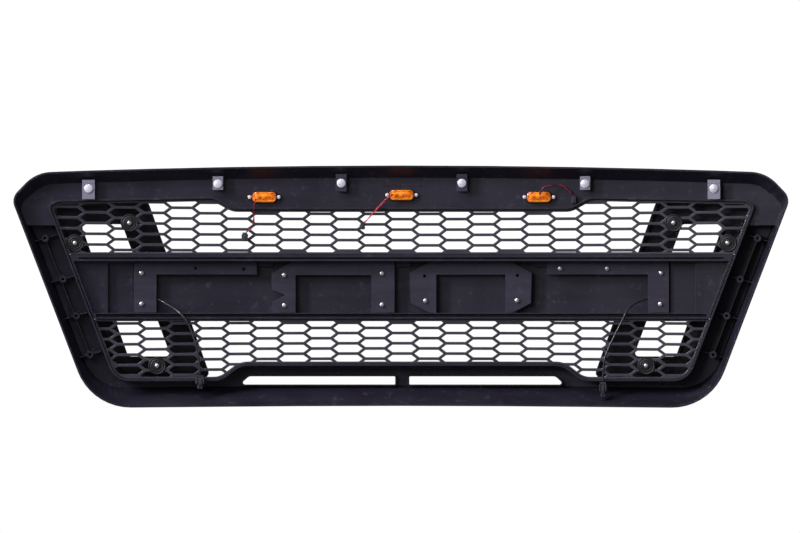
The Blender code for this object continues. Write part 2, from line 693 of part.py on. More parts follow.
def make_trim_fixings(dark):
    """Screws with a wide captive washer that clamp the mesh to the side trims."""
    for number, (x, z) in enumerate(both_sides(TRIM_FIXINGS), 1):
        washer = MESH_REAR_Y + 0.5
        profile = [(0.0, -34.0), (SCREW_RADIUS, -32.0), (SCREW_RADIUS, washer), (WASHER_RADIUS, washer),
                   (WASHER_RADIUS, washer + 1.6), (4.4, washer + 2.2), (3.6, washer + 4.4), (0.0, washer + 4.8)]
        fixing = turned(f"trim_fixing_{number}", profile, x, z, 14)
        sweep_short(fixing, x)
        finish(fixing, dark)


def lamp_outline(x, z, clearance=0.0):
    half_length = LAMP_LENGTH / 2.0 + clearance
    half_height = LAMP_HEIGHT / 2.0 + clearance
    return rounded([(x - half_length, z - half_height, 6.0), (x - half_length, z + half_height, 6.0),
                    (x + half_length, z + half_height, 6.0), (x + half_length, z - half_height, 6.0)], 3)


def make_marker_lamps(amber):
    for place, x, z in MARKER_LAMPS:
        outline = lamp_outline(x, z)
        lamp = prism(f"marker_lamp_{place}", outline, 8.0, -9.0, offset(outline, -0.8), collection=parts)
        flange = prism("flange", lamp_outline(x, z, 2.4), LAND_Y + 2.3, LAND_Y + GAP)
        crown = prism("crown", offset(outline, -1.6), 9.2, 7.0)
        gland = rod("gland", *GLANDS[place], 2.2, 10.4, 7.5, 8)
        join(lamp, flange, crown, gland)
        sweep_short(lamp, x)
        finish(lamp, amber)


def make_clips(zinc, black):
    """Folded spring nuts over the six fixing towers, and the bolts in them."""
    for number, (x, z, half_width, foot, head) in enumerate(both_sides(CLIPS), 1):
        rear = TOWER_Y + GAP + CLIP_THICKNESS
        front = TOWER_Y + GAP
        plate = block(f"nut_clip_{number}", x - half_width, z - foot, x + half_width, z + head, rear, front,
                      collection=parts)
        hook = block("hook", x - 6.0, z - foot, x + 6.0, z - foot + 1.4, rear - 0.5, front - 5.0)
        hook_top = block("hook_top", x - 6.0, z + 10.0, x + 6.0, z + 11.4, rear - 0.5, front - 3.0)
        leaf = block("leaf", x - half_width, z + CLIP_LEAF, x + half_width, z + head, rear + CLIP_STEP,
                     front + 0.5)
        join(plate, hook, hook_top, leaf)
        cut(plate, rod("clip_hole", x, z, BOLT_RADIUS + 0.4, 40.0, 0.0, 10))
        sweep_short(plate, x)
        finish(plate, black if abs(x) < 200.0 else zinc)

        seat = rear + GAP
        profile = [(0.0, -6.0), (BOLT_RADIUS, -4.0), (BOLT_RADIUS, seat), (7.5, seat), (7.5, seat + 1.2),
                   (5.6, seat + 3.8), (0.0, seat + 4.8)]
        bolt = turned(f"mounting_bolt_{number}", profile, x, z, 14)
        sweep_short(bolt, x)
        finish(bolt, zinc)


def make_side_lamps(lens):
    for name, side in (("left", 1.0), ("right", -1.0)):
        x = side * SIDE_LAMP_X
        lean = side * SIDE_LAMP_LEAN
        right, left = x - SIDE_LAMP_HALF_LENGTH, x + SIDE_LAMP_HALF_LENGTH
        outline = rounded([(right - lean, -SIDE_LAMP_HALF_HEIGHT, 5.0), (right + lean, SIDE_LAMP_HALF_HEIGHT, 5.0),
                           (left + lean, SIDE_LAMP_HALF_HEIGHT, 5.0), (left - lean, -SIDE_LAMP_HALF_HEIGHT, 5.0)], 3)
        lamp = prism(f"side_lamp_{name}", outline, POD_FRONT_Y - GAP, SIDE_LAMP_FRONT_Y, offset(outline, -2.5),
                     collection=parts)
        sweep_short(lamp, x)
        finish(lamp, lens)


def smooth_route(route, spacing):
    """Points at even spacing along a smooth curve through the route."""
    knots = [Vector((x, y + plan_offset(x), z)) for x, y, z in route]
    padded = [knots[0] * 2.0 - knots[1]] + knots + [knots[-1] * 2.0 - knots[-2]]
    fine = []
    for a, b, c, d in zip(padded, padded[1:], padded[2:], padded[3:]):
        for step in range(16):
            t = step / 16.0
            fine.append(0.5 * (2.0 * b + (c - a) * t + (2.0 * a - 5.0 * b + 4.0 * c - d) * t ** 2
                               + (3.0 * b - a - 3.0 * c + d) * t ** 3))
    fine.append(knots[-1])
    length = sum((after - before).length for before, after in zip(fine, fine[1:]))
    count = max(2, round(length / spacing))
    picked, travelled, wanted = [fine[0]], 0.0, 1
    for before, after in zip(fine, fine[1:]):
        stretch = (after - before).length
        while wanted < count and travelled + stretch >= wanted * length / count:
            share = (wanted * length / count - travelled) / stretch
            picked.append(before.lerp(after, share))
            wanted += 1
        travelled += stretch
    return picked + [fine[-1]]


def make_leads(finishes):
    for name, route in ROUTES.items():
        diameter = CABLE_DIAMETER if name.startswith("lamp") else WIRE_DIAMETER
        points = smooth_route(route, 2.2 * diameter)
        lead = bpy.data.curves.new(name, "CURVE")
        lead.dimensions = "3D"
        lead.bevel_depth = diameter * MM / 2.0
        lead.bevel_resolution = 2
        lead.use_fill_caps = True
        spline = lead.splines.new("POLY")
        spline.points.add(len(points) - 1)
        for place, point in enumerate(points):
            spline.points[place].co = (*(point * MM), 1.0)
        lead.materials.append(finishes[name])
        parts.objects.link(bpy.data.objects.new(name, lead))


# Plugs at the ends of the leads: node, x, y, z of the middle, length along z, width, lead.
PLUGS = [
    ("marker_plug_left", 251.0, 2.6, 79.2, 13.0, 10.0),
    ("marker_plug_centre", 63.2, 2.2, 95.6, 10.0, 8.0),
    ("marker_plug_right", -275.6, 5.0, 138.4, 12.0, 8.0),
    ("lamp_plug_left", 322.2, 12.4, -153.4, 22.0, 15.0),
    ("lamp_plug_right", -322.8, 12.4, -165.4, 24.0, 14.0),
]


def make_plugs(dark):
    for name, x, y, z, length, width in PLUGS:
        half = width / 2.0
        thick = 0.36 * width
        outline = rounded([(x - half, z - length / 2.0, 1.5), (x - half, z + length / 2.0, 3.0),
                           (x + half, z + length / 2.0, 3.0), (x + half, z - length / 2.0, 1.5)], 2)
        plug = prism(name, outline, y + thick, y - thick, collection=parts)
        sweep_short(plug, x)
        finish(plug, dark)


def move_to_datum():
    """Everything is drawn from mid height and the land; this puts the origin on the seal pad."""
    for piece in parts.objects:
        piece.location = -DATUM * MM


def build():
    clear_scene()
    black = material("black_plastic", (0.020, 0.020, 0.026), 0.55)
    mesh_black = material("mesh_plastic", (0.017, 0.017, 0.021), 0.5)
    frame_black = material("frame_plastic", (0.026, 0.026, 0.033), 0.6)
    dark = material("dark_fittings", (0.012, 0.012, 0.012), 0.5)
    amber = material("amber_lens", (0.90, 0.24, 0.01), 0.15)
    lens = material("clear_lens", (0.70, 0.72, 0.75), 0.1)
    zinc = material("zinc_steel", (0.75, 0.75, 0.80), 0.3, 1.0)
    steel = material("screw_steel", (0.62, 0.61, 0.58), 0.3, 1.0)
    red = material("red_wire", (0.35, 0.015, 0.015), 0.4)
    cable = material("black_cable", (0.015, 0.015, 0.017), 0.35)

    screw_places = [place for _, _, screws in FRAMES for place in screws]
    make_surround(black)
    honeycomb("upper_mesh", region_between(BAR_TOP_Z + BAR_GAP, 300.0), UPPER_PITCH_X, UPPER_WALL_Z,
              UPPER_PITCH_Z, mesh_black)
    honeycomb("lower_mesh", region_between(-300.0, BAR_BOTTOM_Z - BAR_GAP), LOWER_PITCH_X, LOWER_WALL_Z,
              LOWER_PITCH_Z, mesh_black)
    make_centre_bar(black, screw_places)
    make_frames(frame_black, steel)
    make_badges(frame_black)
    make_trim("side_trim_left", 1.0, black)
    make_trim("side_trim_right", -1.0, black)
    make_trim_fixings(dark)
    make_marker_lamps(amber)
    make_clips(zinc, frame_black)
    make_side_lamps(lens)
    make_leads({name: (cable if name.startswith("lamp") else red) for name in ROUTES})
    make_plugs(dark)
    move_to_datum()


build()
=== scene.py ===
"""Looks of the pickup front grille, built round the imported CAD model.

Frame: metres, +Z up, the front of the grille faces -Y, its back faces +Y, and +X is the vehicle's left.
Every place is given before the plan sweep, as in the CAD source, and pushed back by plan_offset().
"""

import math
import random

import bmesh
import bpy
from mathutils import Matrix, Vector


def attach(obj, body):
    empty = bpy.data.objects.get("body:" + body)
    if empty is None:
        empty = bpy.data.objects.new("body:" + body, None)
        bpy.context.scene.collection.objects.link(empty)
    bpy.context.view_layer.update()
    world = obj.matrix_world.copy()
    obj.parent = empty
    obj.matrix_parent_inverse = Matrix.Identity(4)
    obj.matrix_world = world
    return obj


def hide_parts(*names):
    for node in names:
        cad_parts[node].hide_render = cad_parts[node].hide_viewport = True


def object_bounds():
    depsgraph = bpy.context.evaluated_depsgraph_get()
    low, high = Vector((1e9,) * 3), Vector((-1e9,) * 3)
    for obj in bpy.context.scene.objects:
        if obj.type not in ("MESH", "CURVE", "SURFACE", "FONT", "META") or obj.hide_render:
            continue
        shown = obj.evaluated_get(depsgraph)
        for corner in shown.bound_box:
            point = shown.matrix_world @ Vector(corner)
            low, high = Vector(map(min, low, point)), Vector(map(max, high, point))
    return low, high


# Metres in a millimetre, the degrees past which an edge stays sharp, and the points on each span of a route.
MM = 0.001
SMOOTH_ANGLE = 35.0
CURVE_STEPS = 16

# Plan sweep of the grille, in millimetres.
HALF_WIDTH = 620.0
SWEEP = 45.0
STATION_PITCH = 88.0

# The frame's origin is on the seal pad of the top band; places here are measured from mid height.
DATUM = Vector((0.0, 0.5, 165.0))

# Levels along Y and sizes of the fittings, in millimetres, before the sweep.
FRAME_SCREW_SEAT = -14.7
WASHER_SEAT = -3.5
WASHER_THICKNESS = 2.0
BOLT_SEAT = 13.0
LAMP_SCREW_SEAT = 2.7
LAMP_LENGTH = 37.6
LAMP_HEIGHT = 16.4
LAMP_SCREW_REACH = 23.3
LENS_BUTTON_PITCH = 9.5

# Leads, in millimetres: a wire of a twisted pair, a lamp cable, and the spacing of points along each.
WIRE_DIAMETER = 1.4
WIRE_STEP = 1.2
CABLE_DIAMETER = 3.4
CABLE_STEP = 4.0

# Turns of a pair over its whole length. The centre pair is wound loosely, and its far end opens.
PAIR_TURNS = 2.5
LOOSE_PAIR_TURNS = 0.5
LOOSE_PAIR_SPREAD = 3.5

# Foam strips over the joints at the two ends of the bar, in millimetres before the sweep.
SIDE_SLOPE = 0.3835
SEAL_X = 512.7
SEAL_TOP_Z = 50.0
SEAL_BOTTOM_Z = -52.0
SEAL_REAR_Y = -33.1
SEAL_FRONT_Y = -33.8
SEAL_HALF_WIDTH = 1.5
SEAL_EDGE = 0.4
SEAL_STEPS = 8

# Camera: behind the grille at its middle height, a little to the right, far away with a long lens.
CAMERA_DISTANCE = 30.0
CAMERA_TURN = math.radians(1.6)
CAMERA_TARGET = (2.6, 10.0, 31.2)
VIEW_WIDTH = 1.28

# Places across the back, as (x, z) in millimetres. Trim fixings and bolts are mirrored to the other side.
FRAME_SCREWS = [
    (416.6, 20.8), (416.6, -28.8), (188.6, 17.4), (188.3, -31.2), (32.0, 20.0), (32.0, -30.1),
    (-37.5, -23.8), (-184.5, -23.2), (-253.5, 28.0), (-328.8, 28.0), (-415.4, 20.8), (-414.1, -29.1)]
TRIM_FIXINGS = [(522.4, 68.8), (435.5, 101.0), (391.5, -127.5)]
BOLTS = [(96.6, 164.5), (293.7, 163.4), (500.0, 155.8)]
MARKER_LAMPS = [("left", 220.0, 142.2), ("centre", 0.0, 145.6), ("right", -220.0, 142.2)]

# Middle lines of the leads, from their exits to their plugs, as (x, y, z) in millimetres before the sweep.
ROUTES = {
    "marker_wire_left": [
        (233.0, 11.6, 138.6), (233.1, 13.8, 138.4), (233.9, 15.2, 135.6), (235.0, 14.8, 129.5),
        (235.8, 12.4, 122.5), (236.4, 9.4, 112.5), (237.0, 6.4, 102.5), (239.6, 4.6, 94.5),
        (244.6, 3.4, 88.8), (248.6, 3.0, 86.6)],
    "marker_wire_centre": [
        (14.0, 11.8, 146.0), (14.3, 14.0, 145.8), (18.2, 15.6, 143.6), (24.4, 14.6, 138.8),
        (32.4, 12.2, 131.0), (41.8, 9.0, 121.0), (50.6, 5.4, 111.2), (57.0, 3.2, 104.4), (60.6, 2.6, 101.2)],
    "marker_wire_right": [
        (-221.4, 11.8, 146.0), (-221.5, 14.0, 146.4), (-222.4, 15.4, 149.8), (-225.8, 14.0, 155.2),
        (-232.6, 11.6, 159.8), (-241.8, 9.0, 161.8), (-251.8, 6.6, 161.2), (-261.2, 4.6, 157.8),
        (-268.6, 3.4, 152.2), (-273.4, 3.0, 145.8)],
    "lamp_cable_left": [
        (402.5, -31.5, -17.2), (402.3, -29.0, -17.3), (400.5, -25.6, -18.0), (396.5, -23.4, -19.4),
        (391.0, -22.4, -21.6), (383.0, -18.8, -25.4), (371.0, -8.8, -32.2), (361.5, 1.2, -38.2),
        (352.5, 8.0, -45.6), (344.0, 10.8, -55.6), (335.6, 11.4, -73.0), (329.0, 11.6, -93.6),
        (325.0, 12.0, -113.4), (323.2, 12.4, -130.4), (322.4, 12.4, -141.6)],
    "lamp_cable_right": [
        (-402.5, -31.5, -17.2), (-402.3, -29.0, -17.2), (-400.5, -25.6, -17.6), (-396.5, -23.4, -18.6),
        (-391.0, -22.4, -20.2), (-382.5, -18.8, -23.4), (-371.5, -8.8, -29.2), (-363.5, 1.4, -36.0),
        (-358.0, 8.2, -45.0), (-352.4, 10.8, -56.6), (-342.0, 11.4, -77.6), (-332.0, 11.6, -97.8),
        (-325.6, 12.0, -115.6), (-323.2, 12.4, -133.6), (-322.8, 12.4, -152.6)],
}

# Plugs on the leads: x, y, z of the middle, length along z, width.
PLUGS = {
    "marker_plug_left": (251.0, 2.6, 79.2, 13.0, 10.0),
    "marker_plug_centre": (63.2, 2.2, 95.6, 10.0, 8.0),
    "marker_plug_right": (-275.6, 5.0, 138.4, 12.0, 8.0),
    "lamp_plug_left": (322.2, 12.4, -153.4, 22.0, 15.0),
    "lamp_plug_right": (-322.8, 12.4, -165.4, 24.0, 14.0),
}

# Slightly violet studio light, the surroundings in metres, and the dust that lies on the plastic.
LIGHT_TINT = (1.0, 0.955, 1.12)
ROOM_TINT = (0.92, 0.90, 1.0)
ROOM_STRENGTH = 0.13
BACKDROP_STRENGTH = 1.05
FLOOR_GREY = 0.12
FLOOR_REACH = 30.0
FLOOR_DROP = 0.001
DUST = (0.095, 0.093, 0.108)

# Area lights: name, place in metres, width, height, power in watts. All look at the middle of the grille.
LIGHTS = [
    ("overhead", (1.3, 1.0, 1.9), 2.4, 0.7, 48.0),
    ("left_strip", (2.5, 1.6, 1.1), 0.5, 1.2, 76.0),
    ("camera_fill", (2.2, 4.2, 1.1), 2.4, 1.2, 38.0),
    ("front_soft", (-1.6, -3.6, 1.8), 2.4, 1.2, 45.0),
]

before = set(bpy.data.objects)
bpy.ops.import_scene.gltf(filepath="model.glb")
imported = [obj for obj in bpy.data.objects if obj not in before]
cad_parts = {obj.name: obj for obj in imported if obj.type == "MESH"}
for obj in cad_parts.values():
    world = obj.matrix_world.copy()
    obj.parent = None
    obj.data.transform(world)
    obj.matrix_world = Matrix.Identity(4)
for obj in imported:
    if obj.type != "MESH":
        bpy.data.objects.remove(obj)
cad_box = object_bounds()
random.seed(7)


# ---------------------------------------------------------------- places

def parabola(x):
    return SWEEP * (x / HALF_WIDTH) ** 2


def plan_offset(x):
    """How far the sweep pushes a point back, in millimetres: a chain of chords between stations."""
    station = (math.floor(x / STATION_PITCH + 0.5) - 0.5) * STATION_PITCH
    share = (x - station) / STATION_PITCH
    chord = parabola(station) * (1.0 - share) + parabola(station + STATION_PITCH) * share
    return chord - parabola(STATION_PITCH / 2.0)


def swept(x, y, z):
    """A point in metres from a place in millimetres before the sweep."""
    return (Vector((x, y + plan_offset(x), z)) - DATUM) * MM


def seat_at(x, y, z, turn=0.0):
    """Where a fitting sits: its own +Y points out of the swept surface, turned about that axis."""
    lean = math.atan((plan_offset(x + 1.0) - plan_offset(x - 1.0)) / 2.0)
    return (Matrix.Translation(swept(x, y, z)) @ Matrix.Rotation(lean, 4, "Z")
            @ Matrix.Rotation(turn, 4, "Y"))


def both_sides(places):
    return list(places) + [(-place[0], *place[1:]) for place in places]


# ---------------------------------------------------------------- camera and stage

def add_camera():
    data = bpy.data.cameras.new("camera")
    data.sensor_width = 36.0
    data.lens = data.sensor_width * CAMERA_DISTANCE / VIEW_WIDTH
    data.clip_end = 100.0
    camera = bpy.data.objects.new("camera", data)
    camera.location = CAMERA_DISTANCE * Vector((-math.sin(CAMERA_TURN), math.cos(CAMERA_TURN), 0.0))
    camera.location += (Vector(CAMERA_TARGET) - DATUM) * MM
    camera.rotation_euler = (math.radians(90.0), 0.0, math.radians(180.0) + CAMERA_TURN)
    bpy.context.scene.collection.objects.link(camera)
    bpy.context.scene.camera = camera


# ---------------------------------------------------------------- material helpers

class Graph:
    """A material's node tree with short calls for the nodes used here."""

    def __init__(self, name):
        self.material = bpy.data.materials.new(name)
        self.material.use_nodes = True
        self.nodes = self.material.node_tree.nodes
        self.links = self.material.node_tree.links
        self.shader = self.nodes["Principled BSDF"]
        self.place = self.nodes.new("ShaderNodeTexCoord").outputs["Object"]

    def set(self, **values):
        for name, value in values.items():
            self.shader.inputs[name.replace("_", " ")].default_value = value

    def link(self, source, target):
        self.links.new(source, target)

    def stretched(self, scale):
        mapping = self.nodes.new("ShaderNodeMapping")
        mapping.inputs["Scale"].default_value = scale
        self.link(self.place, mapping.inputs["Vector"])
        return mapping.outputs["Vector"]

    def noise(self, scale, detail=3.0, roughness=0.5, where=None):
        made = self.nodes.new("ShaderNodeTexNoise")
        made.inputs["Scale"].default_value = scale
        made.inputs["Detail"].default_value = detail
        made.inputs["Roughness"].default_value = roughness
        self.link(where or self.place, made.inputs["Vector"])
        return made.outputs["Fac"]

    def ramp(self, source, low, high, low_value, high_value):
        made = self.nodes.new("ShaderNodeMapRange")
        made.inputs["From Min"].default_value = low
        made.inputs["From Max"].default_value = high
        made.inputs["To Min"].default_value = low_value
        made.inputs["To Max"].default_value = high_value
        self.link(source, made.inputs["Value"])
        return made.outputs["Result"]

    def colours(self, source, stops):
        made = self.nodes.new("ShaderNodeValToRGB")
        ramp = made.color_ramp
        while len(ramp.elements) < len(stops):
            ramp.elements.new(0.5)
        for element, (place, colour) in zip(ramp.elements, stops):
            element.position = place
            element.color = (*colour, 1.0)
        self.link(source, made.inputs["Fac"])
        return made.outputs["Color"]

    def mix(self, factor, first, second):
        made = self.nodes.new("ShaderNodeMix")
        made.data_type = "RGBA"
        self.link(factor, made.inputs["Factor"])
        # Sockets 6 and 7 are the two colours of this node, and output 2 is the mixed colour.
        for value, socket in ((first, made.inputs[6]), (second, made.inputs[7])):
            if isinstance(value, tuple):
                socket.default_value = (*value, 1.0)
            else:
                self.link(value, socket)
        return made.outputs[2]

    def bump(self, height, distance, strength=1.0, normal=None):
        made = self.nodes.new("ShaderNodeBump")
        made.inputs["Distance"].default_value = distance
        made.inputs["Strength"].default_value = strength
        self.link(height, made.inputs["Height"])
        if normal:
            self.link(normal, made.inputs["Normal"])
        return made.outputs["Normal"]

    def soft_edges(self, radius):
        made = self.nodes.new("ShaderNodeBevel")
        made.samples = 4
        made.inputs["Radius"].default_value = radius
        return made.outputs["Normal"]


def moulded_plastic(name, colour, roughness, edge, grain=0.00004, scuffs=0.5, gloss=0.5, coat=0.0):
    """Black ABS: faint flow marks along the part, fine grain, dusty scuffs and softened edges."""
    graph = Graph(name)
    flow = graph.noise(9.0, 4.0, 0.6, graph.stretched((0.55, 1.0, 6.0)))
    cloud = graph.noise(16.0, 2.0)
    dust = graph.ramp(graph.noise(70.0, 6.0, 0.75), 0.57, 0.74, 0.0, scuffs)
    lighter = tuple(channel * 1.5 for channel in colour)
    darker = tuple(channel * 0.72 for channel in colour)
    base = graph.colours(flow, [(0.3, darker), (0.7, lighter)])
    base = graph.mix(dust, base, DUST)
    graph.link(base, graph.shader.inputs["Base Color"])
    graph.link(graph.ramp(cloud, 0.3, 0.7, roughness - 0.06, roughness + 0.08),
               graph.shader.inputs["Roughness"])
    normal = graph.soft_edges(edge)
    normal = graph.bump(graph.noise(1500.0, 2.0), grain, 0.6, normal)
    normal = graph.bump(flow, 0.0008, 0.15, normal)
    graph.link(normal, graph.shader.inputs["Normal"])
    graph.set(Specular_IOR_Level=gloss, Coat_Weight=coat, Coat_Roughness=0.3)
    return graph.material


def metal(name, colour, roughness, spangle, edge, metallic=1.0):
    """Zinc or steel with a mottled plating."""
    graph = Graph(name)
    mottled = graph.noise(spangle, 3.0, 0.7)
    darker = tuple(channel * 0.72 for channel in colour)
    graph.link(graph.colours(mottled, [(0.35, darker), (0.65, colour)]), graph.shader.inputs["Base Color"])
    graph.link(graph.ramp(mottled, 0.3, 0.7, roughness + 0.12, roughness - 0.05),
               graph.shader.inputs["Roughness"])
    graph.set(Metallic=metallic)
    normal = graph.soft_edges(edge)
    graph.link(graph.bump(graph.noise(900.0, 2.0), 0.00004, 0.5, normal), graph.shader.inputs["Normal"])
    return graph.material


def insulation(name, colour, roughness, edge=0.0001):
    """Smooth wire jacket or nylon with faint marks."""
    graph = Graph(name)
    marks = graph.noise(260.0, 4.0, 0.65)
    darker = tuple(channel * 0.6 for channel in colour)
    graph.link(graph.colours(marks, [(0.35, darker), (0.6, colour)]), graph.shader.inputs["Base Color"])
    graph.link(graph.ramp(marks, 0.3, 0.7, roughness, roughness + 0.15), graph.shader.inputs["Roughness"])
    graph.link(graph.bump(marks, 0.00008, 0.5, graph.soft_edges(edge)), graph.shader.inputs["Normal"])
    return graph.material


def amber_lens():
    """Orange acrylic in random patches of deeper and brighter orange, painted light gathering in the lens,
    with a faint painted glow.
    """
    graph = Graph("amber_lens")
    swirl = graph.noise(150.0, 3.0, 0.55)
    streak = graph.noise(60.0, 2.0, 0.5, graph.stretched((0.6, 1.0, 2.6)))
    orange = graph.colours(swirl, [(0.33, (0.42, 0.05, 0.003)), (0.50, (0.80, 0.17, 0.006)),
                                   (0.68, (1.0, 0.36, 0.03))])
    # Brighter orange streaks: painted light gathering in the acrylic.
    base = graph.mix(graph.ramp(streak, 0.45, 0.7, 0.0, 0.7), orange, (1.0, 0.36, 0.02))
    graph.link(base, graph.shader.inputs["Base Color"])
    # Painted glow: the lens gives off faint light in its own orange, though the lamp is not lit.
    graph.link(base, graph.shader.inputs["Emission Color"])
    graph.set(Roughness=0.12, Emission_Strength=0.17, Coat_Weight=0.6, Coat_Roughness=0.05)
    graph.link(graph.bump(swirl, 0.0004, 0.5), graph.shader.inputs["Normal"])
    return graph.material


def clear_lens():
    graph = Graph("clear_lens")
    ribs = graph.noise(260.0, 1.0, 0.4, graph.stretched((3.0, 1.0, 0.2)))
    graph.link(graph.colours(ribs, [(0.3, (0.45, 0.47, 0.50)), (0.7, (0.80, 0.82, 0.85))]),
               graph.shader.inputs["Base Color"])
    graph.set(Roughness=0.08, Coat_Weight=0.8)
    graph.link(graph.bump(ribs, 0.0005, 0.8), graph.shader.inputs["Normal"])
    return graph.material


# Each call gives a name, a colour, a roughness and the radius of softened edges in metres.
# A metal gives the scale of its mottling before that radius.
MATERIALS = {
    "black_plastic": moulded_plastic("black_plastic", (0.0128, 0.0115, 0.0190), 0.42, 0.0007, scuffs=0.6),
    # Trim plastic: a deeper black than the shell, partly its own glossier finish and partly painted shade
    # for the trims lying deep behind the mesh.
    "trim_plastic": moulded_plastic("trim_plastic", (0.0045, 0.0042, 0.0060), 0.36, 0.0006, scuffs=0.12),
    # Mesh plastic: lighter than the shell, partly painted light for the struts lit from the upper left; its
    # gloss, coat and wide soft edges catch the real lights.
    "mesh_plastic": moulded_plastic("mesh_plastic", (0.024, 0.022, 0.031), 0.30, 0.0020, scuffs=0.2,
                                    gloss=1.0, coat=1.0),
    "frame_plastic": moulded_plastic("frame_plastic", (0.0260, 0.0236, 0.0365), 0.46, 0.0007, grain=0.00006),
    "dark_fittings": insulation("dark_fittings", (0.0085, 0.0085, 0.0080), 0.40, 0.0004),
    "amber_lens": amber_lens(),
    "clear_lens": clear_lens(),
    # Zinc: near-white base with little metal, partly the plating's own pale colour and partly painted
    # highlight, so the heads read white.
    "zinc_steel": metal("zinc_steel", (0.98, 0.98, 1.0), 0.30, 420.0, 0.0004, 0.25),
    "screw_steel": metal("screw_steel", (0.90, 0.88, 0.82), 0.30, 600.0, 0.0003, 0.85),
    "red_wire": insulation("red_wire", (0.55, 0.018, 0.035), 0.26),
    "black_cable": insulation("black_cable", (0.040, 0.040, 0.046), 0.14),
    "plug_nylon": insulation("plug_nylon", (0.050, 0.050, 0.062), 0.28, 0.0004),
    "galvanised_clip": metal("galvanised_clip", (0.40, 0.40, 0.46), 0.42, 900.0, 0.0004, 0.6),
    "lamp_gasket": insulation("lamp_gasket", (0.010, 0.008, 0.008), 0.5, 0.0004),
}


# ---------------------------------------------------------------- making pieces

def add_piece(name, mesh, look, replaces=(), place=None):
    """Puts a mesh on the grille, in its material, riding on the one body."""
    piece = bpy.data.objects.new(name, mesh)
    bpy.context.scene.collection.objects.link(piece)
    if not mesh.materials:
        mesh.materials.append(MATERIALS[look])
    if place is not None:
        piece.matrix_world = place
    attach(piece, "root")
    if replaces:
        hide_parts(*replaces)
    return piece


def to_mesh(name, shape, smooth_angle=SMOOTH_ANGLE):
    mesh = bpy.data.meshes.new(name)
    bmesh.ops.recalc_face_normals(shape, faces=shape.faces)
    shape.to_mesh(mesh)
    shape.free()
    mesh.shade_smooth()
    mesh.set_sharp_from_angle(angle=math.radians(smooth_angle))
    return mesh


def ring(shape, radius, y, sides):
    """Adds corners spaced evenly round the Y axis, from a radius and a level in millimetres."""
    turn = 2.0 * math.pi / sides
    return [shape.verts.new((radius * MM * math.cos(turn * i), y * MM, radius * MM * math.sin(turn * i)))
            for i in range(sides)]


def lathe(shape, profile, sides=32):
    """Adds a round piece about Y to the shape, from (radius, y) in millimetres."""
    rings = []
    for radius, y in profile:
        if radius == 0.0:
            rings.append([shape.verts.new((0.0, y * MM, 0.0))])
        else:
            rings.append(ring(shape, radius, y, sides))
    for first, second in zip(rings, rings[1:]):
        for i in range(sides):
            after = (i + 1) % sides
            if len(first) == 1:
                shape.faces.new((first[0], second[i], second[after]))
            elif len(second) == 1:
                shape.faces.new((first[i], second[0], first[after]))
            else:
                shape.faces.new((first[i], second[i], second[after], first[after]))


def skin(shape, rings):
    """Closes a row of rings, all with the same number of corners, into one body."""
    shape.faces.new(rings[0])
    shape.faces.new(rings[-1])
    count = len(rings[0])
    for first, second in zip(rings, rings[1:]):
        for i in range(count):
            after = (i + 1) % count
            shape.faces.new((first[i], first[after], second[after], second[i]))


def block(shape, x_low, y_low, z_low, x_high, y_high, z_high, taper=0.0):
    """Adds a block in millimetres to the shape; its +Y end is smaller by taper all round.

    A mirrored block may give its two X in either order.
    """
    x_low, x_high = min(x_low, x_high), max(x_low, x_high)
    corners = []
    for y, inset in ((y_low, 0.0), (y_high, taper)):
        corners.append([shape.verts.new((x * MM, y * MM, z * MM)) for x, z in (
            (x_low + inset, z_low + inset), (x_high - inset, z_low + inset),
            (x_high - inset, z_high - inset), (x_low + inset, z_high - inset))])
    skin(shape, corners)


def cut_mesh(mesh, tool_mesh):
    """The mesh with the tool cut out of it."""
    body = bpy.data.objects.new("body", mesh)
    tool = bpy.data.objects.new("tool", tool_mesh)
    for made in (body, tool):
        bpy.context.scene.collection.objects.link(made)
    step = body.modifiers.new("cut", "BOOLEAN")
    step.operation = "DIFFERENCE"
    step.solver = "EXACT"
    step.object = tool
    graph = bpy.context.evaluated_depsgraph_get()
    result = bpy.data.meshes.new_from_object(body.evaluated_get(graph))
    result.name = mesh.name
    for made in (body, tool):
        bpy.data.objects.remove(made, do_unlink=True)
    result.set_sharp_from_angle(angle=math.radians(SMOOTH_ANGLE))
    return result


def cross_recess(width, blade, floor, top):
    """The tool that cuts a cross recess: two tapered blades."""
    shape = bmesh.new()
    for turned in (False, True):
        half, thin = width / 2.0, blade / 2.0
        across, along = (thin, half) if turned else (half, thin)
        corners = []
        for y, share in ((floor, 0.45), (top, 1.0)):
            corners.append([shape.verts.new((x * MM, y * MM, z * MM)) for x, z in (
                (-across * share, -along * share), (across * share, -along * share),
                (across * share, along * share), (-across * share, along * share))])
        skin(shape, corners)
    return to_mesh("recess", shape)


def pan_head(name, radius, height):
    """A pan-head screw with a cross recess; its seat is at Y = 0."""
    shape = bmesh.new()
    lathe(shape, [(0.0, -2.0), (radius * 0.5, -2.0), (radius * 0.5, 0.0), (radius, 0.0),
                  (radius, height * 0.35), (radius * 0.93, height * 0.7), (radius * 0.75, height * 0.9),
                  (radius * 0.45, height), (0.0, height * 1.04)])
    recess = cross_recess(radius * 1.15, radius * 0.36, height * 0.2, height + 2.0)
    return cut_mesh(to_mesh(name, shape), recess)


def hex_flange_bolt():
    """A hexagon-head bolt with a round flange and a shallow cross in the head; its seat is at Y = 0."""
    shape = bmesh.new()
    lathe(shape, [(0.0, -2.0), (3.0, -2.0), (3.0, 0.0), (6.8, 0.0), (7.1, 0.4), (6.9, 1.1), (6.0, 1.7),
                  (0.0, 1.9)], 40)
    skin(shape, [ring(shape, radius, y, 6) for radius, y in ((5.6, 1.2), (5.6, 4.2), (5.0, 4.8))])
    return cut_mesh(to_mesh("mounting_bolt", shape), cross_recess(6.0, 1.6, 3.2, 6.0))


